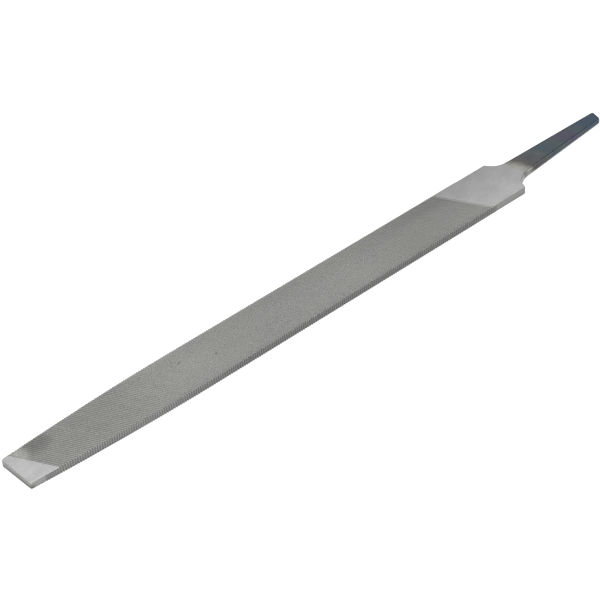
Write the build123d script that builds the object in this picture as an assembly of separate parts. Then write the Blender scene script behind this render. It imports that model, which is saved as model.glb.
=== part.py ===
"""Flat file, single cut, 250 mm from the point to the shoulders, with a bare tang.

The real file is one forging: no piece of it comes off and nothing on it moves. The model keeps the four
zones that a file maker names, each as a solid of its own, and they meet face to face:

    point     the uncut, ground end
    cut_body  the toothed length, as thick and as wide as it is over the tips of its teeth
    heel      the uncut, ground length up to and round both shoulders
    tang      the tapered spike that goes into a handle

Frame: +X runs from the point to the tang, +Y across the blade, +Z up. The origin is under the middle of
the whole length, on the plane that the file lies on. All sizes are in millimetres.
"""
import os
from math import radians, tan

from build123d import *

# --- Driving dimensions --------------------------------------------------------------------------
BLADE_LENGTH = 250.0      # point to shoulders: the size that a file is sold by
TANG_LENGTH = 62.0        # shoulders to the far corner of the tang's end, before it is rounded
CUT_WIDTH = 23.5          # over the teeth on the two edges, where the blade is parallel
CUT_THICKNESS = 3.4       # over the teeth on the two faces, where the blade is parallel
POINT_WIDTH = 18.0        # over the teeth on the edges, carried on to the end of the point
POINT_THICKNESS = 2.85    # over the teeth on the faces, carried on to the end of the point
TOOTH_RISE = 0.15         # how far the cut metal stands above the ground metal on every side

WIDTH_CORNER = 59.0       # from the point to where the tapered and the parallel edges would meet
WIDTH_BLEND_RADIUS = 960.0
THICKNESS_TAPER = 32.0    # length over which the faces curve in towards the point

CUT_ANGLE = 63.0          # between a tooth and the file's length, in degrees
CUT_START = 7.8           # along the middle of the face, from the point
CUT_END = 226.0

TANG_SPLIT = 7.0          # past the shoulders, where both shoulder curves have ended
TANG_END_THICKNESS = 2.3
ARRIS_RADIUS = 0.35       # the softened long edges of the ground and forged metal

# --- Places along the file, from the point -------------------------------------------------------
TANG_START = BLADE_LENGTH + TANG_SPLIT
TANG_END = BLADE_LENGTH + TANG_LENGTH


def outline(corners):
    """A closed plan through corners given as x, y and the radius that rounds each."""
    points = [(x, y) for x, y, _ in corners]
    radii = [radius for _, _, radius in corners]
    return make_face(FilletPolyline(*points, radius=radii, close=True))


def blank_outline():
    """Plan of the ground and forged metal: the tapered blade, two unlike shoulders and a skewed tang.

    The near shoulder is a square step with a tight notch, the far one is an open hollow, and the tang
    leans a little towards the far side.
    """
    point_half = POINT_WIDTH / 2 - TOOTH_RISE
    blade_half = CUT_WIDTH / 2 - TOOTH_RISE
    return outline([
        (0, -point_half, 0.6),
        (WIDTH_CORNER, -blade_half, WIDTH_BLEND_RADIUS),
        (BLADE_LENGTH + 0.4, -blade_half, 1.3),
        (BLADE_LENGTH + 2.0, -7.2, 0.7),
        (BLADE_LENGTH + 7.4, -4.6, 9.0),
        (TANG_END - 1.85, 0.35, 1.0),
        (TANG_END, 6.3, 0.7),
        (BLADE_LENGTH + 2.8, 7.05, 7.0),
        (BLADE_LENGTH + 0.2, blade_half, 0.5),
        (WIDTH_CORNER, blade_half, WIDTH_BLEND_RADIUS),
        (0, point_half, 1.3),
    ])


def cut_outline():
    """Plan over the edge teeth, from the point to the shoulders, before its ends are sawn off."""
    point_half = POINT_WIDTH / 2
    blade_half = CUT_WIDTH / 2
    return outline([
        (0, -point_half, 0),
        (WIDTH_CORNER, -blade_half, WIDTH_BLEND_RADIUS),
        (BLADE_LENGTH, -blade_half, 0),
        (BLADE_LENGTH, blade_half, 0),
        (WIDTH_CORNER, blade_half, WIDTH_BLEND_RADIUS),
        (0, point_half, 0),
    ])


def side_profile(inset, end_thickness):
    """Side view `inset` under the tooth tips: flat faces that curve in to the point and thin to the end."""
    face_half = CUT_THICKNESS / 2 - inset
    point_half = POINT_THICKNESS / 2 - inset
    end_half = end_thickness / 2
    half = Curve() + [
        TangentArc((THICKNESS_TAPER, face_half), (0, point_half), tangent=(-1, 0)),
        Polyline((THICKNESS_TAPER, face_half), (TANG_START, face_half), (TANG_END, end_half)),
    ]
    ends = [
        Line((0, point_half), (0, -point_half)),
        Line((TANG_END, end_half), (TANG_END, -end_half)),
    ]
    return Plane.XZ * make_face(Curve() + [half, mirror(half, about=Plane.XZ)] + ends)


def solid_between(plan, side):
    """The metal that fits both the plan and the side view."""
    through = extrude(plan, amount=CUT_THICKNESS, both=True)
    across = extrude(side, amount=CUT_WIDTH, both=True)
    return (through & across).solid()


def blank():
    """The whole file before it is cut, with its long edges softened."""
    metal = solid_between(blank_outline(), side_profile(TOOTH_RISE, TANG_END_THICKNESS))
    upright = metal.edges().filter_by(Axis.Z)
    long_edges = [edge for edge in metal.edges() if edge not in upright]
    return fillet(long_edges, ARRIS_RADIUS)


def toothed_bar():
    """The bar that just holds every tooth."""
    return solid_between(cut_outline(), side_profile(0, CUT_THICKNESS))


def tooth_plane(x):
    """Upright plane along a tooth that crosses the middle of the face at x. Its normal faces the tang."""
    return Plane(origin=(x, 0, 0), x_dir=(0, 0, 1), z_dir=(tan(radians(CUT_ANGLE)), 1, 0))


def cross_plane(x):
    """Plane square to the file's length at x. Its normal faces the tang."""
    return Plane(origin=(x, 0, 0), z_dir=(1, 0, 0))


def between(metal, first=None, last=None):
    """The part of `metal` on the tang's side of `first` and on the point's side of `last`."""
    if first is not None:
        metal = split(metal, bisect_by=first, keep=Keep.TOP)
    if last is not None:
        metal = split(metal, bisect_by=last, keep=Keep.BOTTOM)
    return metal.solid()


def build_zones():
    """Every zone of the file, by the name of its node, placed in the file's own frame."""
    whole = blank()
    cut_start = tooth_plane(CUT_START)
    cut_end = tooth_plane(CUT_END)
    tang_start = cross_plane(TANG_START)
    zones = {
        "point": between(whole, last=cut_start),
        "cut_body": between(toothed_bar(), first=cut_start, last=cut_end),
        "heel": between(whole, first=cut_end, last=tang_start),
        "tang": between(whole, first=tang_start),
    }
    origin = Location((-whole.bounding_box().center().X, 0, CUT_THICKNESS / 2))
    return {name: origin * zone for name, zone in zones.items()}


os.makedirs("parts", exist_ok=True)
for name, zone in build_zones().items():
    export_step(zone, f"parts/{name}.step")
    box = zone.bounding_box()
    print(f"{name:9s} {box.size.X:7.2f} x {box.size.Y:6.2f} x {box.size.Z:5.2f} mm,"
          f" x from {box.min.X:8.2f} to {box.max.X:8.2f}, volume {zone.volume:8.1f} mm3")
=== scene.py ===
# %% [markdown]
# # A flat file: from the bare frame to the finished look
# A hand file is one bar of tool steel. It is forged to shape, ground bright, cut with rows of slanting
# teeth by a chisel, and hardened, while its tang is left tough and dark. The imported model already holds
# that bar as four plain zones: point, cut body, heel and tang. This lesson computes the surface that a
# file really has, tooth by tooth, and gives every zone its finish.

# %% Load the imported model
import math

import bpy
import numpy as np
from mathutils import Matrix, Vector


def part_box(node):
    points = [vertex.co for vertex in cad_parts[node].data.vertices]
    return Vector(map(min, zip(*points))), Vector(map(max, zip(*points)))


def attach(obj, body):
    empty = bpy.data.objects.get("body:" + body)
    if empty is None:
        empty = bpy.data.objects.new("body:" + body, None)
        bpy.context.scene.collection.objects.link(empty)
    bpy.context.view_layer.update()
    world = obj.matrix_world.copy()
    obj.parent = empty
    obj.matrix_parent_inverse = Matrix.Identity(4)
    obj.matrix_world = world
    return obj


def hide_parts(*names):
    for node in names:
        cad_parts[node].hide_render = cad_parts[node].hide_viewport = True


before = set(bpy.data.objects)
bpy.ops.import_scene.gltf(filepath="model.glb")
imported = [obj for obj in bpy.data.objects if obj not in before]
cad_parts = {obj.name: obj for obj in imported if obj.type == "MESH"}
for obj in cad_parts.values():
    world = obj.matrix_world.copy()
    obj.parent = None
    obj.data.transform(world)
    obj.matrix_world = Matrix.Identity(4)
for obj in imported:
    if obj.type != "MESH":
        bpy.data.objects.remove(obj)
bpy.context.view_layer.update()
MM = 0.001
print("frame nodes:", sorted(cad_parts))

# %% [markdown]
# ## The bar
# Places along the file are easiest to think of from the end of the point, and heights from the middle of
# the thickness, so that the two faces mirror each other. The frame says where the point ends, and how
# wide and thick the file is over its teeth. The other sizes repeat the model's own, in metres.

# %% Sizes of the bar
point_low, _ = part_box("point")
cut_low, cut_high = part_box("cut_body")
tang_low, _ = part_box("tang")

POINT_X = point_low.x
MIDDLE_Z = (cut_low.z + cut_high.z) / 2
HALF_THICKNESS = (cut_high.z - cut_low.z) / 2
TANG_START = tang_low.x - POINT_X
TOOTH_RISE = 0.15 * MM            # the raised tooth tips stand this far above the ground metal
LAND_HALF_WIDTH = cut_high.y - TOOTH_RISE
POINT_HALF_THICKNESS = 1.425 * MM
THICKNESS_TAPER = 32 * MM
TANG_END = 312 * MM
TANG_END_HALF_THICKNESS = 1.15 * MM
print(f"land width {2 * LAND_HALF_WIDTH / MM:.2f} mm, thickness {2 * HALF_THICKNESS / MM:.2f} mm, "
      f"tang from {TANG_START / MM:.1f} mm")

# %% [markdown]
# Seen from above, the bar is a rounded outline. Each half of it is a rail that starts at the middle of
# the point's end, goes round a corner, along one edge, over a shoulder and along the tang to the middle
# of the tang's end. A rail could be a Bezier curve, but a short list of corners with a radius each says
# exactly the same as a drawing does, and every later step only needs "where is the rail after this many
# millimetres, and which way is inwards".

# %% A rail with rounded corners
class Rail:
    """One half of the outline, measured by the distance along it from the middle of the point's end.

    At a corner that turns by an angle, an arc of radius r starts r * tan(angle / 2) before the corner and
    ends as far after it. Between arcs the rail is straight.
    """

    STEPS = 24

    def __init__(self, corners, inward):
        flat = [np.array(corner[:2]) for corner in corners]
        pieces = [flat[0][None]]
        for before, here, after, corner in zip(flat, flat[1:], flat[2:], corners[1:]):
            into = (here - before) / np.linalg.norm(here - before)
            out = (after - here) / np.linalg.norm(after - here)
            side = np.array([-into[1], into[0]])
            turn = math.atan2(side @ out, into @ out)
            start = here - corner[2] * math.tan(abs(turn) / 2) * into
            angle = np.linspace(0, abs(turn), self.STEPS)[:, None]
            bulge = np.sin(angle) * into + (1 - np.cos(angle)) * side * math.copysign(1, turn)
            pieces.append(start + corner[2] * bulge)
        pieces.append(flat[-1][None])
        self.points = np.concatenate(pieces)
        steps = np.linalg.norm(np.diff(self.points, axis=0), axis=1)
        self.lengths = np.concatenate([[0], np.cumsum(steps)])
        self.arcs = [(self.lengths[1 + k * self.STEPS], self.lengths[(k + 1) * self.STEPS])
                     for k in range(len(corners) - 2)]
        self.total = self.lengths[-1]
        self.inward = inward
        middles = (self.lengths[1:] + self.lengths[:-1]) / 2
        kept = steps > 0
        self.middles = middles[kept]
        self.directions = (np.diff(self.points, axis=0)[kept]) / steps[kept, None]

    def at(self, length):
        """Points on the rail, and unit vectors square to it that point into the bar."""
        place = np.stack([np.interp(length, self.lengths, self.points[:, i]) for i in (0, 1)], axis=-1)
        along = np.stack([np.interp(length, self.middles, self.directions[:, i]) for i in (0, 1)], axis=-1)
        along /= np.linalg.norm(along, axis=-1, keepdims=True)
        square = np.stack([-along[..., 1], along[..., 0]], axis=-1)
        return place, square * self.inward

    def length_where(self, slope, value):
        """Distance along the long edge to where x + slope * y has a value, for a slanting line."""
        edge = slice(self.STEPS, 2 * self.STEPS + 2)
        return np.interp(value, self.points[edge] @ [1, slope], self.lengths[edge])


def in_mm(*corners):
    """The same corners in metres."""
    return [tuple(np.array(corner) * MM) for corner in corners]


# Corners are x, y and the radius that rounds them, in millimetres.
WIDTH_CORNER = 59.0               # where the tapered and the parallel edges would meet
WIDTH_BLEND = 960                 # radius of the long arc between them
END_MIDDLE = (311.075, 3.325)     # middle of the tang's end
NEAR = Rail(in_mm((0, 0), (0, -8.85, 0.6), (WIDTH_CORNER, -11.6, WIDTH_BLEND), (250.4, -11.6, 1.3),
                  (252.0, -7.2, 0.7), (257.4, -4.6, 9.0), (310.15, 0.35, 1.0), END_MIDDLE), inward=1)
FAR = Rail(in_mm((0, 0), (0, 8.85, 1.3), (WIDTH_CORNER, 11.6, WIDTH_BLEND), (250.2, 11.6, 0.5),
                 (252.8, 7.05, 7.0), (312, 6.3, 0.7), END_MIDDLE), inward=-1)
print(f"near rail {NEAR.total / MM:.1f} mm, far rail {FAR.total / MM:.1f} mm")

# %% [markdown]
# Seen from the side, each face is flat, and curves in towards the point over the last 32 mm. Past the
# shoulders the tang tapers straight. This is a plain function, so it works on whole arrays at once.

# %% The side profile as a function
def half_thickness(x):
    """Half the thickness over the face teeth at x; the ground metal lies a tooth rise below it.

    An arc that is tangent to the flat face at the end of the taper and drops to the point's half
    thickness, then the constant half thickness, then a straight line down to the end of the tang.
    """
    drop = HALF_THICKNESS - POINT_HALF_THICKNESS
    radius = (THICKNESS_TAPER**2 + drop**2) / (2 * drop)
    back = np.clip(THICKNESS_TAPER - x, 0, THICKNESS_TAPER)
    blade = HALF_THICKNESS - radius + np.sqrt(radius**2 - back**2)
    past = np.clip((x - TANG_START) / (TANG_END - TANG_START), 0, 1)
    return blade - past * (HALF_THICKNESS - TOOTH_RISE - TANG_END_HALF_THICKNESS)


print("half thickness at 0, 20, 100, 312 mm:",
      np.round(half_thickness(np.array([0, 20, 100, 312]) * MM) / MM, 3))

# %% [markdown]
# ## The teeth
# A single-cut tooth is thrown up by a chisel: a steep front that faces the point, a thin crest and a long
# sloping back. It could be painted on with a bump map, but then the file's edge would stay a straight
# line and the mesh would be a plain bar. So the teeth are real: each side of the file is a list of rows,
# each a place along the file and a depth under the tooth tips. No two blows of the chisel are quite
# alike, so each tooth has its own small error in place and in height.

# %% Tooth rows
PITCH = 1.064 * MM
LEAN = 1 / math.tan(math.radians(63))     # how far a face tooth shifts along the file per unit across it
FACE_CUT = (7.8 * MM, 226.0 * MM)         # first and last blow, along the middle of a face
EDGE_CUT = (6.2 * MM, 233.0 * MM)
TOOTH_PLACES = np.array([0.00, 0.07, 0.19, 0.25, 0.55, 0.86])
TOOTH_DEPTHS = np.array([0.32, 0.29, 0.00, 0.01, 0.14, 0.29]) * MM
EDGE_SHALLOWER = 0.58             # a tooth of the near edge is this much as deep as a face tooth
FAR_SHALLOWER = 0.44              # and one of the far edge, which was cut with lighter blows
PLACE_ERROR = 0.010 * MM
HEIGHT_ERROR = 0.008 * MM
LIGHTEST_BLOW = 0.3               # share of the full relief that the first and last teeth keep at least
BEFORE_TEETH = 0.06 * MM          # the ground metal ends this far before the first tooth


def tooth_rows(first, last, seed, fading, rising=1, deep=1.0):
    """Rows of one side: places, depths and tooth numbers, from ground metal through the teeth and back.

    Tooth k starts at first + k * pitch plus its error. Each of its rows lies at the tooth's start plus
    the row's share of the distance to the next tooth. Depths are the profile's plus the tooth's error.
    Over the first and the last few teeth, where the blows are light, the relief rises from the ground
    metal and fades to it again. `deep` makes a whole side shallower.
    """
    rng = np.random.default_rng(seed)
    count = int(round((last - first) / PITCH))
    starts = np.linspace(first, last, count + 1)
    starts[1:-1] += rng.normal(0, PLACE_ERROR, count - 1)
    errors = np.abs(rng.normal(0, HEIGHT_ERROR, count))
    tooth = np.arange(count)
    strength = np.clip(np.minimum((tooth + 1) / rising, (count - tooth) / fading), LIGHTEST_BLOW, 1)
    places = starts[:-1, None] + np.diff(starts)[:, None] * TOOTH_PLACES
    relief = deep * TOOTH_DEPTHS + errors[:, None] - TOOTH_RISE
    depths = TOOTH_RISE + strength[:, None] * relief
    return (
        np.concatenate([[first - BEFORE_TEETH], places.ravel(), [last]]),
        np.concatenate([[TOOTH_RISE], depths.ravel(), [TOOTH_RISE]]),
        np.concatenate([[0], np.repeat(np.arange(count), len(TOOTH_PLACES)), [count - 1]]),
    )


ROWS = {
    "top": tooth_rows(*FACE_CUT, seed=11, fading=2),
    "bottom": tooth_rows(*FACE_CUT, seed=12, fading=2),
    "near": tooth_rows(*EDGE_CUT, seed=13, fading=2, rising=9, deep=EDGE_SHALLOWER),
    "far": tooth_rows(*EDGE_CUT, seed=14, fading=2, rising=9, deep=FAR_SHALLOWER),
}


def depth(side, place):
    """Depth under the tooth tips anywhere along a side: straight lines between its rows."""
    return np.interp(place, ROWS[side][0], ROWS[side][1])


print({side: f"{len(rows[0])} rows" for side, rows in ROWS.items()})

# %% [markdown]
# ## One skin
# The whole surface is made as one closed skin of a few sheets. A face sheet is a ladder: each of its rows
# runs from the near rail to the far rail, straight across on the lands and the tang, and along a tooth
# line in between. The underside has the same teeth as the top once the file is turned over, so its
# lines lean the other way. The list of rungs is all that a face needs.

# %% Rungs of a face
LAND_ARRIS = 0.18 * MM            # radius of the rounded arrises on the ground metal
TOOTH_ARRIS = 0.11 * MM           # among the teeth, where the chisel sharpened them
TANG_ARRIS = 1.02 * MM            # on the tang, which is left as the hammer rounded it
END_ARRIS = 0.60 * MM             # and round the tang's end
TANG_ROUND = (252 * MM, 260 * MM)  # where the narrow arris of the land widens to the tang's
END_ROUND = (302 * MM, 309 * MM)  # and where that one narrows to the end's
COLUMNS = 21                      # points on a rung
HEEL_SQUARE = 235 * MM            # past this the heel's rungs run straight across
LAND_RUNGS = (5, 34)              # round the point's corner, and on to the first tooth
HEEL_RUNGS = (78, 12, 5, 4, 7, 4, 34, 5)  # to HEEL_SQUARE, the shoulders, the tang and its end corner


def between(keys, counts):
    """Evenly spaced values from each key to the next one, with the last key at the end."""
    spans = [np.linspace(low, high, count, endpoint=False)
             for low, high, count in zip(keys, keys[1:], counts)]
    return np.concatenate([*spans, keys[-1:]])


def face_rungs(side, lean):
    """Rungs of a face as rail lengths at both ends, depths, tooth numbers, and where its zones change.

    From the point: round the corners, over the point's land, along every tooth row, over the heel's
    land, over the shoulders, along the tang and round its end corners. A tooth row is the line where
    x + lean * y is constant.
    """
    places, depths, numbers = ROWS[side]
    near_teeth = NEAR.length_where(lean, places)
    far_teeth = FAR.length_where(lean, places)
    near_land = between([*NEAR.arcs[0], near_teeth[0]], LAND_RUNGS)[:-1]
    far_land = between([*FAR.arcs[0], far_teeth[0]], LAND_RUNGS)[:-1]
    near_heel = between([near_teeth[-1], NEAR.length_where(0, HEEL_SQUARE), *NEAR.arcs[2], *NEAR.arcs[3],
                         tang_length(NEAR), *NEAR.arcs[5]], HEEL_RUNGS)[1:]
    far_heel = between([far_teeth[-1], FAR.length_where(0, HEEL_SQUARE), *FAR.arcs[2], *FAR.arcs[3],
                        tang_length(FAR), *FAR.arcs[4]], HEEL_RUNGS)[1:]
    ground = [np.full(len(part), TOOTH_RISE) for part in (near_land, near_heel)]
    zero = [np.zeros(len(part), int) for part in (near_land, near_heel)]
    first = len(near_land)
    last = first + len(places) - 1
    tang = last + sum(HEEL_RUNGS[:6])
    return {
        "near": np.concatenate([near_land, near_teeth, near_heel]),
        "far": np.concatenate([far_land, far_teeth, far_heel]),
        "depth": np.concatenate([ground[0], depths, ground[1]]),
        "tooth": np.concatenate([zero[0], numbers, zero[1]]),
        "zones": (first, last, tang),
    }


def tang_length(rail):
    """Distance along a rail to where the tang starts."""
    past_shoulder = rail.lengths > rail.arcs[2][1]
    return np.interp(TANG_START, rail.points[past_shoulder, 0], rail.lengths[past_shoulder])


RUNGS = {"top": face_rungs("top", LEAN), "bottom": face_rungs("bottom", -LEAN)}
print({side: f"{len(rungs['near'])} rungs" for side, rungs in RUNGS.items()})

# %% [markdown]
# Each rung becomes a row of points. The points between its ends sit evenly along a straight line, and
# each tooth gets a slight ripple along its length, because a hand-held chisel bites a little deeper here
# than there. The end points follow the notches that the edge teeth cut into the corner, and stop short of
# it by the arris radius, so that a rounded strip has room to join the face to the wall.

# %% A face sheet
RIPPLE = 0.005 * MM


def arris(x):
    """Radius of the arris at x: straight lines between the radii of land, teeth, tang and the tang's end."""
    places = [EDGE_CUT[0], EDGE_CUT[0] + PITCH, EDGE_CUT[1] - PITCH, EDGE_CUT[1], *TANG_ROUND, *END_ROUND]
    radii = [LAND_ARRIS, TOOTH_ARRIS, TOOTH_ARRIS, LAND_ARRIS, LAND_ARRIS, TANG_ARRIS, TANG_ARRIS, END_ARRIS]
    return np.interp(x, places, radii)


def inset(rail, side, lengths):
    """Points that lie inside a rail by its edge teeth's depth below the ground metal and by the arris."""
    place, inward = rail.at(lengths)
    x = place[:, 0]
    reach = depth(side, x) - TOOTH_RISE + arris(x)
    return place + inward * reach[:, None]


def face_sheet(rungs, up, seed):
    """Points of a face as a grid of rungs by columns, on the top for up = 1 and underneath for up = -1."""
    rng = np.random.default_rng(seed)
    near, _ = NEAR.at(rungs["near"])
    far, _ = FAR.at(rungs["far"])
    share = np.linspace(0, 1, COLUMNS)[:, None]
    grid = near[:, None] + share * (far - near)[:, None]
    # The first and the last rung are the point's end and the tang's end, set in by the arris.
    grid[0, :, 0] += LAND_ARRIS
    end_inward = NEAR.at(rungs["near"][-1:])[1] + FAR.at(rungs["far"][-1:])[1]
    grid[-1] += END_ARRIS * end_inward / np.linalg.norm(end_inward)
    inner = slice(1, -1)
    grid[inner, 0] = inset(NEAR, "near", rungs["near"])[inner]
    grid[inner, -1] = inset(FAR, "far", rungs["far"])[inner]
    ripple = rng.normal(0, RIPPLE, (rungs["tooth"].max() + 1, COLUMNS))
    ripple = (ripple + np.roll(ripple, 1, axis=1) + np.roll(ripple, -1, axis=1)) / math.sqrt(3)
    cut = rungs["depth"][:, None] != TOOTH_RISE
    low = np.maximum(rungs["depth"][:, None] + cut * ripple[rungs["tooth"]], 0)
    height = up * (half_thickness(grid[..., 0]) - low)
    return np.dstack([grid, height])


top_sheet = face_sheet(RUNGS["top"], 1, seed=21)
bottom_sheet = face_sheet(RUNGS["bottom"], -1, seed=22)
print("face sheets of", top_sheet.shape[:2], "points")

# %% [markdown]
# The wall is one band that goes all the way round: along the near edge with its teeth, across the tang's
# end, back along the far edge and across the point's end. Going round, a place has one number: the
# distance from the middle of the point's end. The band's upper and lower columns already lean inwards
# over two thirds of the arris, so the strips that close the corners have little left to turn.

# %% The wall band
ROUND = NEAR.total + FAR.total
ARRIS_ANGLES = np.radians([0, 22.5, 45, 67.5])
WALL_MIDDLES = np.array([-0.5, 0, 0.5])
TANG_END_PLACES = 6               # places across the tang's end
POINT_END_PLACES = 16             # and across the point's


def wall_lengths(rail, side, arcs_after):
    """Rail lengths of the wall's rows on one rail: round the point's corner, along the teeth, to the end."""
    teeth = rail.length_where(0, ROWS[side][0])
    before = between([*rail.arcs[0], teeth[0]], (5, 8))[:-1]
    arcs = [length for arc in arcs_after for length in rail.arcs[arc]]
    keys = sorted([teeth[-1], *arcs, tang_length(rail)])
    counts = [12] + [5] * (len(keys) - 3) + [5]
    longest = int(np.argmax(np.diff(keys[1:]))) + 1
    counts[longest] = 30
    return np.concatenate([before, teeth, between(keys, counts)[1:]])


def across(rail_a, length_a, rail_b, length_b, count):
    """Places going round, strictly between two places, where rail_a leads to rail_b over an end."""
    start = going_round(rail_a, length_a)
    stop = going_round(rail_b, length_b)
    stop += ROUND * (stop < start)
    return np.linspace(start, stop, count + 2)[1:-1]


def going_round(rail, length):
    """Distance going round from the middle of the point's end: along NEAR, then back along FAR."""
    return length if rail is NEAR else ROUND - length


def at_round(place):
    """Points on the outline and inward vectors for distances going round."""
    place = np.mod(place, ROUND)
    on_near = (place < NEAR.total)[:, None]
    near_point, near_inward = NEAR.at(np.minimum(place, NEAR.total))
    far_point, far_inward = FAR.at(np.minimum(ROUND - place, FAR.total))
    return np.where(on_near, near_point, far_point), np.where(on_near, near_inward, far_inward)


near_wall = wall_lengths(NEAR, "near", (2, 3, 4, 5))
far_wall = wall_lengths(FAR, "far", (2, 3, 4))
wall_round = np.concatenate([
    near_wall,
    across(NEAR, near_wall[-1], FAR, far_wall[-1], TANG_END_PLACES),
    ROUND - far_wall[::-1],
    across(FAR, far_wall[0], NEAR, near_wall[0], POINT_END_PLACES),
])
wall_place, wall_inward = at_round(wall_round)
wall_depth = np.where(np.mod(wall_round, ROUND) > NEAR.total,
                      depth("far", wall_place[:, 0]), depth("near", wall_place[:, 0]))


def wall_band():
    """Points of the wall as a grid of places going round by columns from the lower to the upper arris.

    Each column is the outline moved inwards. The middle columns lie at shares of the height. The outer
    ones follow the arris's quarter circle: in by radius * (1 - cos angle), up to radius * (1 - sin angle)
    short of the face.
    """
    x, y = wall_place.T
    notch = wall_depth - TOOTH_RISE
    radius = arris(x)
    face = {
        1: half_thickness(x) - depth("top", x + LEAN * y),
        -1: -half_thickness(x) + depth("bottom", x - LEAN * y),
    }
    low = face[-1] + radius
    high = face[1] - radius
    columns = []
    for angle in ARRIS_ANGLES[::-1]:
        columns.append((radius * (1 - np.cos(angle)), face[-1] + radius * (1 - np.sin(angle))))
    for share in WALL_MIDDLES:
        columns.append((0 * radius, (low + high) / 2 + share * (high - low) / 2))
    for angle in ARRIS_ANGLES:
        columns.append((radius * (1 - np.cos(angle)), face[1] - radius * (1 - np.sin(angle))))
    inwards = np.stack([inward for inward, _ in columns], axis=1) + notch[:, None]
    heights = np.stack([height for _, height in columns], axis=1)
    flat = wall_place[:, None] + wall_inward[:, None] * inwards[..., None]
    return np.dstack([flat, heights])


band = wall_band()
print("wall band of", band.shape[:2], "points")

# %% [markdown]
# The edge of a face has one set of points and the wall has another, because face teeth and edge teeth
# don't line up. Merging two vertex lists by hand is fiddly, but both lists are in order going round, so
# they can be closed like a zip: walk along both, and each step on one side makes a triangle with the
# other side's latest point.

# %% Closing two lines like a zip
def face_loop(rungs, grid_shape, first_vertex):
    """The border of a face sheet in order going round, as vertex numbers and places going round."""
    rows, columns = grid_shape
    numbers = first_vertex + np.arange(rows * columns).reshape(rows, columns)
    end = across(NEAR, rungs["near"][-1], FAR, rungs["far"][-1], columns - 2)
    start = across(FAR, rungs["far"][0], NEAR, rungs["near"][0], columns - 2)
    loop = np.concatenate([numbers[:, 0], numbers[-1, 1:-1], numbers[::-1, -1], numbers[0, -2:0:-1]])
    return loop, np.concatenate([rungs["near"], end, ROUND - rungs["far"][::-1], start])


def zip_strip(inner, inner_places, outer, outer_places):
    """Triangles between two closed lines that start at the same place, and where each triangle lies.

    A step of a line happens at the middle of its places. The step makes a triangle with the point that
    the other line has reached by then.
    """
    def steps(places):
        return (places + np.append(places[1:], places[0] + ROUND)) / 2

    inner_steps, outer_steps = steps(inner_places), steps(outer_places)
    reached_outer = np.searchsorted(outer_steps, inner_steps, side="left") % len(outer)
    reached_inner = np.searchsorted(inner_steps, outer_steps, side="right") % len(inner)
    from_inner = np.stack([np.roll(inner, -1), inner, outer[reached_outer]], axis=1)
    from_outer = np.stack([outer, np.roll(outer, -1), inner[reached_inner]], axis=1)
    return np.concatenate([from_inner, from_outer]), np.concatenate([inner_steps, outer_steps])


def grid_quads(shape, first_vertex, closed=False):
    """Quads of a grid of rows by columns, with the last row joined to the first one if it is closed."""
    rows, columns = shape
    numbers = first_vertex + np.arange(rows * columns).reshape(rows, columns)
    after = np.roll(numbers, -1, axis=0)
    if not closed:
        numbers, after = numbers[:-1], after[:-1]
    quads = np.stack([numbers[:, :-1], after[:, :-1], after[:, 1:], numbers[:, 1:]], axis=-1)
    return quads.reshape(-1, 4)


bottom_first = top_sheet.shape[0] * top_sheet.shape[1]
band_first = bottom_first + bottom_sheet.shape[0] * bottom_sheet.shape[1]
points = np.concatenate([sheet.reshape(-1, 3) for sheet in (top_sheet, bottom_sheet, band)])
band_numbers = band_first + np.arange(band.shape[0] * band.shape[1]).reshape(band.shape[:2])

top_quads = grid_quads(top_sheet.shape[:2], 0)
bottom_quads = grid_quads(bottom_sheet.shape[:2], bottom_first)[:, ::-1]
wall_quads = grid_quads(band.shape[:2], band_first, closed=True)
top_zip, top_zip_round = zip_strip(*face_loop(RUNGS["top"], top_sheet.shape[:2], 0),
                                   band_numbers[:, -1], wall_round)
bottom_zip, bottom_zip_round = zip_strip(*face_loop(RUNGS["bottom"], bottom_sheet.shape[:2], bottom_first),
                                         band_numbers[:, 0], wall_round)
bottom_zip = bottom_zip[:, ::-1]
print(f"{len(points)} points, {len(top_quads) + len(bottom_quads) + len(wall_quads)} quads, "
      f"{len(top_zip) + len(bottom_zip)} zip triangles")

# %% [markdown]
# ## Four zones
# The model has four nodes, so the skin is parted into four pieces, each one closed. A face changes zone
# at a rung, and each half of the wall where the face next to it does. Where two zones meet inside the
# metal, both get the same fan of triangles from the cut line to a shared middle point, facing opposite
# ways.

# %% Which zone each part of the skin belongs to
ZONES = ["point", "cut_body", "heel", "tang"]
MEETING = np.array([(FACE_CUT[0], 0, 0), (FACE_CUT[1], 0, 0), (257 * MM, 1 * MM, 0)])


def zones_of_face(rungs):
    """Zone of each quad of a face sheet, in the order of grid_quads."""
    row_zone = np.searchsorted(rungs["zones"], np.arange(len(rungs["near"]) - 1), side="right")
    return np.repeat(row_zone, COLUMNS - 1)


def zones_going_round(place, rungs):
    """Zone of each place going round, on the half of the wall next to a face, where that face changes."""
    place = np.mod(place, ROUND)
    near_changes, far_changes = (rungs[rail][list(rungs["zones"])] for rail in ("near", "far"))
    return np.where(place < NEAR.total, np.searchsorted(near_changes, place),
                    np.searchsorted(far_changes, ROUND - place))


wall_steps = (wall_round + np.append(wall_round[1:], wall_round[0] + ROUND)) / 2
half_wall = (band.shape[1] - 1) // 2
wall_zones = np.concatenate([
    np.repeat(zones_going_round(wall_steps, RUNGS[side])[:, None], half_wall, axis=1)
    for side in ("bottom", "top")
], axis=1)
quads = np.concatenate([top_quads, bottom_quads, wall_quads])
quad_zones = np.concatenate([
    zones_of_face(RUNGS["top"]),
    zones_of_face(RUNGS["bottom"]),
    wall_zones.ravel(),
])
triangles = np.concatenate([top_zip, bottom_zip])
triangle_zones = np.concatenate([
    zones_going_round(top_zip_round, RUNGS["top"]),
    zones_going_round(bottom_zip_round, RUNGS["bottom"]),
])
print({name: int((quad_zones == k).sum()) for k, name in enumerate(ZONES)})

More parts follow.
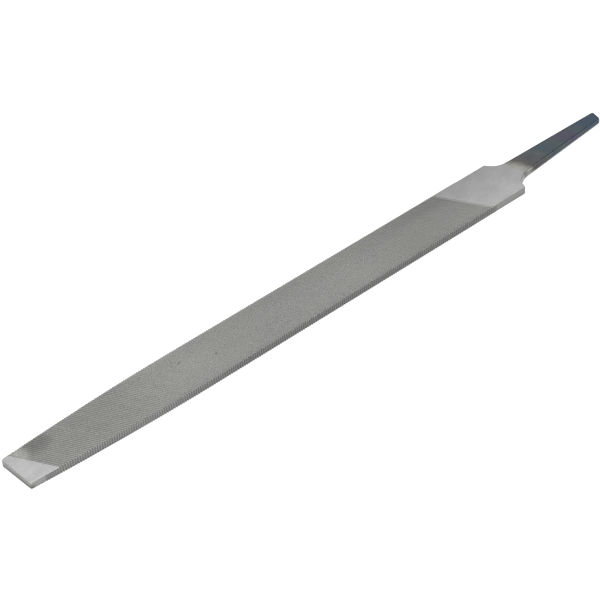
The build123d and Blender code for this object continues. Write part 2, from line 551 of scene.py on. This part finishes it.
# %% [markdown]
# The finishes need two facts that only the shape knows: how open a point lies, which is 1 on the tooth
# tips and 0 at the bottom of a gullet, and whether it is on a wall or on a face. Both go into the mesh as
# attributes, one number for each point. On the tang, where the arris is wide, the step from face to wall
# is spread over its curve, and even its steepest part counts only partly as a wall.

# %% Two facts for the finishes
UNCUT = 0.86                      # how open the ground metal counts as: below the tooth tips' painted highlight
TANG_WALL = 0.55                  # how much of a wall the steepest part of the tang's side counts as
RIM_WALL = 0.006                  # and the rim of its faces, so that the tang's painted rim light reaches it
SHARP_ANGLE = 28                  # degrees: a crease sharper than this isn't shaded smooth


def openness(depths, deepest):
    """1 on the tooth tips, 0 at the deepest, and a little under 1 on the uncut metal."""
    return np.where(depths == TOOTH_RISE, UNCUT, 1 - depths / deepest)


def share_on_tang(x):
    """0 on the blade and 1 on the tang, in a straight line where the arris widens."""
    return np.clip((x - TANG_ROUND[0]) / (TANG_ROUND[1] - TANG_ROUND[0]), 0, 1)


deepest = TOOTH_DEPTHS.max()
steepness = np.cos(np.concatenate([ARRIS_ANGLES[::-1], 0 * WALL_MIDDLES, ARRIS_ANGLES])) ** 4
wall_share = 1 - share_on_tang(wall_place[:, :1]) * (1 - TANG_WALL * steepness)
on_rim = np.isin(np.arange(band_first) % COLUMNS, [0, COLUMNS - 1])
rim_light_share = RIM_WALL * on_rim * share_on_tang(points[:band_first, 0])
facts = {
    "open": np.concatenate([
        np.repeat(openness(RUNGS["top"]["depth"], deepest), COLUMNS),
        np.repeat(openness(RUNGS["bottom"]["depth"], deepest), COLUMNS),
        np.repeat(openness(wall_depth, deepest * EDGE_SHALLOWER), band.shape[1]),
        np.ones(len(MEETING)),
    ]),
    "wall": np.concatenate([rim_light_share, wall_share.ravel(), np.zeros(len(MEETING))]),
}
print({fact: f"mean {values.mean():.2f}" for fact, values in facts.items()})


# %% Close a zone and make its mesh
def cut_edges(faces):
    """Directed edges of some faces whose other side is missing, as pairs of vertex numbers."""
    edges = np.concatenate([np.stack([face, np.roll(face, -1, axis=1)], axis=-1).reshape(-1, 2)
                            for face in faces])
    forward = edges[:, 0].astype(np.int64) * len(points) + edges[:, 1]
    backward = edges[:, 1].astype(np.int64) * len(points) + edges[:, 0]
    return edges[~np.isin(forward, backward)]


def zone_mesh(zone):
    """A closed mesh of one zone: its quads and triangles, and a fan from each cut line to its middle."""
    faces = [quads[quad_zones == zone], triangles[triangle_zones == zone]]
    edges = cut_edges(faces)
    nearest = np.abs(points[edges[:, 0], :1] - MEETING[:, 0]).argmin(axis=1)
    fans = np.stack([edges[:, 1], edges[:, 0], len(points) + nearest], axis=1)
    used, numbered = np.unique(np.concatenate([faces[0].ravel(), faces[1].ravel(), fans.ravel()]),
                               return_inverse=True)
    place = np.concatenate([points, MEETING])[used] + [POINT_X, 0, MIDDLE_Z]
    sizes = np.concatenate([np.full(len(faces[0]), 4), np.full(len(faces[1]) + len(fans), 3)])

    mesh = bpy.data.meshes.new(ZONES[zone])
    mesh.vertices.add(len(used))
    mesh.vertices.foreach_set("co", place.ravel())
    mesh.loops.add(len(numbered))
    mesh.loops.foreach_set("vertex_index", numbered.ravel())
    mesh.polygons.add(len(sizes))
    mesh.polygons.foreach_set("loop_start", np.concatenate([[0], np.cumsum(sizes)[:-1]]))
    mesh.update(calc_edges=True)
    mesh.validate()
    for fact, values in facts.items():
        mesh.attributes.new(fact, "FLOAT", "POINT").data.foreach_set("value", values[used])
    mesh.shade_smooth()
    mesh.set_sharp_from_angle(angle=math.radians(SHARP_ANGLE))
    return mesh


pieces = {}
for number, name in enumerate(ZONES):
    piece = bpy.data.objects.new(f"{name}_skin", zone_mesh(number))
    bpy.context.scene.collection.objects.link(piece)
    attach(piece, "root")
    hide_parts(name)
    pieces[name] = piece
    triangle_count = sum(len(face.vertices) - 2 for face in piece.data.polygons)
    print(f"{name}: {len(piece.data.polygons)} faces, {triangle_count} triangles")

# %% [markdown]
# ## Stage
# The camera looks down along the file from beyond its point, from the side of the near edge, with a long
# lens. The floor is a plain pale sheet, and the light is soft: an even pale sky and two large lamps.

# %% Camera
camera_data = bpy.data.cameras.new("camera")
camera_data.lens = 124.36
camera_data.clip_start = 0.01
camera = bpy.data.objects.new("camera", camera_data)
bpy.context.scene.collection.objects.link(camera)
eye = Vector((-0.43023, -0.47476, 0.48768))
ahead = Vector((0.51701, 0.59901, -0.61146)).normalized()
rightward = Vector((0.73285, -0.67888, -0.04541)).normalized()
upward = rightward.cross(ahead)
turned = Matrix((rightward, upward, -ahead)).transposed()
camera.matrix_world = Matrix.Translation(eye) @ turned.to_4x4()
bpy.context.scene.camera = camera
print(f"camera {eye.length:.3f} m away, lens {camera_data.lens} mm")


# %% Floor and light
def lamp(name, place, aim, size, power):
    """A square area lamp at a place, turned to face the aim."""
    data = bpy.data.lights.new(name, "AREA")
    data.size = size
    data.energy = power
    shown = bpy.data.objects.new(name, data)
    shown.location = place
    shown.rotation_euler = (Vector(aim) - Vector(place)).to_track_quat("-Z", "Y").to_euler()
    bpy.context.scene.collection.objects.link(shown)


FLOOR_SIZE = 6.0
SKY_STRENGTH = 0.85
floor_mesh = bpy.data.meshes.new("floor")
corner = FLOOR_SIZE / 2
floor_corners = [(-corner, -corner, 0), (corner, -corner, 0), (corner, corner, 0), (-corner, corner, 0)]
floor_mesh.from_pydata(floor_corners, [], [(0, 1, 2, 3)])
floor = bpy.data.objects.new("floor", floor_mesh)
bpy.context.scene.collection.objects.link(floor)

world = bpy.data.worlds.new("soft sky")
world.use_nodes = True
world.node_tree.nodes["Background"].inputs["Color"].default_value = (1.0, 1.0, 1.0, 1)
world.node_tree.nodes["Background"].inputs["Strength"].default_value = SKY_STRENGTH
bpy.context.scene.world = world
bpy.context.scene.view_settings.view_transform = "Standard"
lamp("key lamp", (-0.3, 0.4, 1.5), (0, 0, 0), 1.4, 16)
lamp("side lamp", (-0.9, -0.9, 0.9), (0, 0, 0), 0.8, 6)


# %% [markdown]
# ## Finishes
# A finish is a node tree, and shader maths written as nodes soon gets hard to read. One small class wraps
# an output, so that adding or multiplying two of them adds the Math node that does it.

# %% Shader maths as expressions
class Value:
    """An output of a node tree that can be used in an expression."""

    def __init__(self, finish, socket):
        self.finish = finish
        self.socket = socket

    def math(self, operation, *values):
        return self.finish.node("ShaderNodeMath", {"operation": operation}, dict(enumerate(values)))

    def __add__(self, other):
        return self.math("ADD", self, other)

    def __sub__(self, other):
        return self.math("SUBTRACT", self, other)

    def __rsub__(self, other):
        return self.math("SUBTRACT", other, self)

    def __mul__(self, other):
        return self.math("MULTIPLY", self, other)

    __radd__ = __add__
    __rmul__ = __mul__

    def step(self, low, high):
        """0 below low, 1 above high, and a smooth rise in between."""
        return self.finish.node("ShaderNodeMapRange", {"interpolation_type": "SMOOTHSTEP"},
                                {"Value": self, "From Min": low, "From Max": high})


class Finish:
    """A material in the making: node() adds any node, and the other methods add common patterns.

    Lengths are in millimetres, measured from the row frame's origin.
    """

    def __init__(self, name):
        self.material = bpy.data.materials.new(name)
        self.material.use_nodes = True
        self.tree = self.material.node_tree
        self.tree.nodes.clear()
        self.place = self.node("ShaderNodeVectorMath", {"operation": "SCALE"},
                               {0: self.node("ShaderNodeTexCoord", out="Object"), "Scale": 1 / MM})
        parts = self.node("ShaderNodeSeparateXYZ", {}, {0: self.place}, out=None)
        self.x, self.y, self.z = (Value(self, parts.outputs[axis]) for axis in "XYZ")
        self.wall = self.node("ShaderNodeAttribute", {"attribute_name": "wall"}, out="Fac")
        self.open = self.node("ShaderNodeAttribute", {"attribute_name": "open"}, out="Fac")

    def node(self, kind, settings=None, inputs=None, out=0):
        """A node with its settings made first, then its inputs; returns one output, or the node itself."""
        made = self.tree.nodes.new(kind)
        for name, value in (settings or {}).items():
            setattr(made, name, value)
        for name, value in (inputs or {}).items():
            if isinstance(value, Value):
                self.tree.links.new(value.socket, made.inputs[name])
            else:
                made.inputs[name].default_value = value
        return made if out is None else Value(self, made.outputs[out])

    def noise(self, size, stretch=(1, 1, 1), turn=0.0, detail=3.0, rough=0.5, shift=0.0):
        """Noise from 0 to 1 with features of a size, longer along an axis by its stretch, turned about Z."""
        moved = self.node("ShaderNodeMapping", {"vector_type": "TEXTURE"}, {
            "Vector": self.place,
            "Location": (shift, 0, 0),
            "Rotation": (0, 0, math.radians(turn)),
            "Scale": [size * share for share in stretch],
        })
        return self.node("ShaderNodeTexNoise", {}, {
            "Vector": moved, "Scale": 1.0, "Detail": detail, "Roughness": rough})

    def mix(self, share, first, second):
        """First colour at 0, second at 1."""
        inputs = {0: share, 6: opaque(first), 7: opaque(second)}
        return self.node("ShaderNodeMix", {"data_type": "RGBA"}, inputs, out=2)

    def shade(self, colour, share):
        """A colour made darker or lighter by a share."""
        settings = {"data_type": "RGBA", "blend_type": "MULTIPLY", "clamp_result": False}
        return self.node("ShaderNodeMix", settings, {0: 1.0, 6: opaque(colour), 7: share}, out=2)

    def spot(self, x, y, length, width):
        """A soft oval patch: 1 in its middle and 0 outside, from its middle and its whole size."""
        from_x = (self.x - x) * (2 / length)
        from_y = (self.y - y) * (2 / width)
        return 1 - (from_x * from_x + from_y * from_y).step(0.05, 1.0)

    def ramp(self, share, stops):
        """Colour at a share along a ramp of (place, colour) stops."""
        ramp = self.node("ShaderNodeValToRGB", {}, {"Fac": share}, out=None)
        while len(ramp.color_ramp.elements) < len(stops):
            ramp.color_ramp.elements.new(0.5)
        for element, (place, colour) in zip(ramp.color_ramp.elements, stops):
            element.position = place
            element.color = opaque(colour)
        return Value(self, ramp.outputs["Color"])

    def finish(self, colour, metallic, roughness, height=None, bump=0.1):
        """Join the patterns to the surface shader."""
        inputs = {"Base Color": colour, "Metallic": metallic, "Roughness": roughness}
        if height is not None:
            inputs["Normal"] = self.node("ShaderNodeBump", {}, {
                "Height": height, "Strength": 1.0, "Distance": bump * MM})
        shader = self.node("ShaderNodeBsdfPrincipled", {}, inputs)
        self.node("ShaderNodeOutputMaterial", {}, {"Surface": shader}, out=None)
        return self.material


def opaque(colour):
    """A colour with the alpha that colour sockets want; an output passes as it is."""
    return colour if isinstance(colour, Value) else (*colour, 1.0)


# %% [markdown]
# The walls are the same all round. Their grey is darker than the faces': painted shade, for the dark
# surroundings that a steel side reflects. Painted shade also darkens the gullets and the lower part of each
# wall, and a painted highlight lights the top corner of each edge tooth. Towards the point the walls are a
# little lighter, but painted shade darkens the end wall of the point at its foot.

# %% Walls
WALL_GULLET_SHADE = (0.150, 0.150, 0.150)
WALL_SHADED_GREY = (0.240, 0.240, 0.236)
TOOTH_HIGHLIGHT = (0.62, 0.62, 0.615)


def wall_colour_shade_and_highlight(finish):
    """Colour of the walls, with painted shade in the gullets and low down and painted highlights on the
    upper tooth corners.
    """
    patches = finish.noise(12, (2, 1, 1), detail=2, shift=9.0)
    # painted shade: the gullets darker than the tooth tips
    colour = finish.mix(finish.open.step(0.05, 0.9), WALL_GULLET_SHADE, WALL_SHADED_GREY)
    colour = finish.shade(colour, 1.16 - 0.16 * finish.x.step(-110, -60))
    colour = finish.shade(colour, 0.92 + 0.12 * patches)
    # painted shade: darker towards the bottom of the wall, most of all near the point
    bottom = 0.62 + 0.16 * finish.x.step(-125, -105)
    colour = finish.shade(colour, bottom + (1 - bottom) * finish.z.step(0.2, 1.3))
    # painted shade: the point's end wall darker at its foot
    on_end = 1 - finish.x.step(-155.2, -153.5)
    colour = finish.shade(colour, 1 - 0.55 * on_end * (1 - finish.z.step(0.9, 2.6)))
    # painted highlight on the top corner of each edge tooth
    tooth_highlight = finish.z.step(2.75, 3.0) * finish.open.step(0.88, 0.95)
    return finish.mix(tooth_highlight, colour, TOOTH_HIGHLIGHT)


# %% [markdown]
# Ground steel is bright and satin. A belt leaves fine lines across it, and handling and hardening leave
# soft clouds and grain. The lines are a noise drawn out along one direction, used for colour, roughness
# and bump. The clouds and the grain are plain noise.

# %% Ground steel
HALF_BLADE = 11                   # about half the blade's width in millimetres, to lean a tone across it


def ground_surface(finish, tone, spread, lean):
    """Colour, roughness and height of ground steel, whose colour gives way to the wall's on a wall.

    The tone is the one along the middle, the spread is how far the pattern takes it apart, and the lean
    is how much lighter the near edge is than the middle.
    """
    lines = finish.noise(0.16, (40, 1, 40), turn=66, detail=3, rough=0.6)
    clouds = finish.noise(5, (1.5, 1, 1), turn=30, detail=4, rough=0.6, shift=3.0)
    grain = finish.noise(0.8, detail=3)
    pattern = 0.40 * clouds + 0.40 * grain + 0.20 * lines
    light, dark = ((tone * (1 + side),) * 3 for side in (spread / 2, -spread / 2))
    colour = finish.mix(pattern.step(0.38, 0.62), dark, light)
    colour = finish.shade(colour, 1 - lean * finish.y * (1 / HALF_BLADE))
    colour = finish.mix(finish.wall, colour, wall_colour_shade_and_highlight(finish))
    roughness = 0.30 + 0.14 * clouds + 0.12 * lines
    return colour, roughness, lines


# Tone, spread and lean of the two ground lands; the root of the tang continues the heel's.
POINT_GRIND = (0.395, 0.14, 0.03)
HEEL_GRIND = (0.395, 0.15, 0.14)


def ground_steel(name, tone, spread, lean):
    """Finish of an uncut land."""
    finish = Finish(name)
    colour, roughness, lines = ground_surface(finish, tone, spread, lean)
    return finish.finish(colour, 1.0, roughness, lines, bump=0.003)


# %% [markdown]
# The cut steel is a dull grey with a touch of olive. Painted shade darkens its gullets, most near the point.
# The face is uneven: duller towards the heel, most of all towards the far edge, with a dark patch and a few
# light first teeth near the point, and two small dark pits. A thin painted highlight runs along the far
# edge.

# %% Cut steel
CUT_END_X = (FACE_CUT[1] + POINT_X) / MM
TAPER_END_X = WIDTH_CORNER + POINT_X / MM
TAPER_SLOPE = 0.0466              # how fast the tapered edge nears the middle
CUT_HALF_WIDTH = 11.75
OLIVE_GREYS = ((0.465, 0.468, 0.450), (0.505, 0.506, 0.484))
PIT_BROWN = (0.10, 0.09, 0.08)
# Each patch is the x and y of its middle, its length and its width.
DARK_PATCH = (-143.0, 6.5, 17, 13)
LIGHT_PATCH = (-149.0, 6.5, 7, 10)
FIRST_TEETH = (-149.0, 6.5, 8, 11)
PITS = ((-77.5, 4.3, 1.3, 0.9), (-64.3, -1.4, 1.4, 1.0))


def face_tone_and_rim_highlight(finish):
    """How light the cut face is from place to place, as a share.

    It falls along the file, more so on the far side, and changes in the two patches. A painted highlight
    raises it in a thin line along the far edge, which narrows to the point. It falls in the last teeth,
    except at the near edge.
    """
    tone = 1.03 - 0.03 * finish.x.step(-145, -125) - 0.26 * finish.x.step(-100, -50)
    tone = tone - 0.06 * finish.x.step(0, 65)
    far = finish.y.step(0, 9)
    tone = tone - far * (0.02 + 0.04 * finish.x.step(-55, -20))
    tone = tone - finish.y * 0.0045 * finish.x.step(35, 62)
    tone = tone - 0.22 * finish.spot(*DARK_PATCH) + 0.16 * finish.spot(*LIGHT_PATCH)
    # painted highlight: a thin line along the far edge, following it as it narrows to the point
    to_parallel = TAPER_END_X - finish.x
    narrowing = TAPER_SLOPE * to_parallel * to_parallel.step(0, 4)
    tone = tone + 0.22 * (finish.y + narrowing - CUT_HALF_WIDTH).step(-0.7, -0.15)
    to_heel = finish.x + LEAN * finish.y - CUT_END_X
    return tone - 0.06 * to_heel.step(-4.0, -1.5) * finish.y.step(-9, 3)


def cut_steel():
    """Finish of the toothed length."""
    finish = Finish("cut_steel_skin")
    clouds = finish.noise(9, (3, 1, 1), detail=4)
    colour = finish.mix(clouds.step(0.35, 0.65), *OLIVE_GREYS)
    first_teeth = finish.spot(*FIRST_TEETH)
    further_along = finish.x.step(-110, -50)
    # painted shade in the gullets: darkest near the point, lighter further along and in the first teeth
    gullet = 0.20 + 0.22 * further_along - 0.05 * finish.x.step(0, 40) + 0.12 * first_teeth
    gullets = finish.shade((1, 1, 0.98), gullet)
    colour = finish.mix(finish.open.step(0.0, 0.9), gullets, colour)
    colour = finish.shade(colour, face_tone_and_rim_highlight(finish))
    pits = finish.spot(*PITS[0]) + finish.spot(*PITS[1])
    colour = finish.mix(pits * 0.7, colour, PIT_BROWN)
    colour = finish.mix(finish.wall, colour, wall_colour_shade_and_highlight(finish))
    roughness = 0.36 + 0.2 * clouds + 0.12 * further_along
    grain = finish.noise(0.3, detail=2)
    return finish.finish(colour, 1.0, roughness, grain, bump=0.002)


# %% [markdown]
# When the tang is drawn back soft, heat runs up it from the end, and oxide films colour the steel by how
# hot each place got: straw first, then brown and purple, then shades of blue. So the colour is a ramp
# along the tang, from a slanting line where the heat stopped, and noise makes its bands uneven.

# %% Blued steel
HEAT_LINE = 106.6                 # where the dark films start, along the middle
HEAT_LEAN = 0.33                  # how far that line shifts along the file per unit across it
TEMPER_COLOURS = [                # each with its distance past the line
    (-7.0, (0.37, 0.37, 0.37)),
    (-3.5, (0.36, 0.357, 0.335)),
    (-1.5, (0.225, 0.218, 0.198)),
    (0.2, (0.125, 0.12, 0.11)),
    (2.5, (0.12, 0.116, 0.115)),
    (6.0, (0.105, 0.105, 0.115)),
    (10.0, (0.11, 0.125, 0.12)),
    (14.0, (0.075, 0.10, 0.12)),
    (22.0, (0.09, 0.11, 0.12)),
    (28.0, (0.09, 0.085, 0.125)),
    (34.0, (0.085, 0.105, 0.12)),
    (42.0, (0.06, 0.09, 0.125)),
]
PATCH_BLUE = (0.055, 0.075, 0.095)
# The stretches of "wall" over which the tang's face turns into its side, and its painted light and shade
# change.
RIM_TURN = (0.0, 0.0118)
CURVE_TURN = (0.0118, 0.14)
SIDE_TURN = (0.14, 0.5)


def blued_steel():
    """Finish of the tang: painted light lightens its films on the rim, and painted shade darkens them again
    towards the steep side.
    """
    finish = Finish("blued_steel_skin")
    bright, roughness, lines = ground_surface(finish, *HEEL_GRIND)
    waves = finish.noise(4, (1.5, 1, 1), detail=3, shift=20.0)
    heat = finish.x + HEAT_LEAN * finish.y - HEAT_LINE + 5 * (waves - 0.5)
    low, high = TEMPER_COLOURS[0][0], TEMPER_COLOURS[-1][0]
    stops = [((place - low) / (high - low), colour) for place, colour in TEMPER_COLOURS]
    films = finish.ramp((heat - low) * (1 / (high - low)), stops)
    patches = finish.noise(3, (2.2, 1, 1), turn=10, detail=4, rough=0.6, shift=40.0)
    films = finish.mix(patches.step(0.45, 0.75) * 0.5, films, PATCH_BLUE)
    to_end = finish.x.step(108, 138)
    # painted light on the rim of the tang's faces, then painted shade over its curve and down its steep side
    side = 1 + (1.7 + 0.6 * to_end) * finish.wall.step(*RIM_TURN)
    side = side - (1.51 + 0.15 * to_end) * finish.wall.step(*CURVE_TURN)
    side = side - (0.52 + 0.32 * to_end) * finish.wall.step(*SIDE_TURN)
    films = finish.shade(films, side)
    # painted shade on the walls of the ground metal at the root of the tang
    bright = finish.shade(bright, 1 - 0.45 * finish.wall.step(0.0, 0.3))
    colour = finish.mix(heat.step(-7.0, -3.5), bright, films)
    return finish.finish(colour, 1.0, roughness + 0.05 * patches, lines, bump=0.003)


def pale_floor():
    """Finish of the floor: a lit sheet, as on a light table, so that only a faint shadow shows on it."""
    finish = Finish("pale_floor")
    shader = finish.node("ShaderNodeBsdfPrincipled", {}, {
        "Base Color": opaque((0.28, 0.28, 0.28)), "Roughness": 0.9,
        "Emission Color": opaque((1, 1, 1)), "Emission Strength": 0.86})
    finish.node("ShaderNodeOutputMaterial", {}, {"Surface": shader}, out=None)
    return finish.material


FINISHES = {
    "point": ground_steel("ground_steel_point", *POINT_GRIND),
    "cut_body": cut_steel(),
    "heel": ground_steel("ground_steel_heel", *HEEL_GRIND),
    "tang": blued_steel(),
}
for name, piece in pieces.items():
    piece.data.materials.append(FINISHES[name])
floor.data.materials.append(pale_floor())
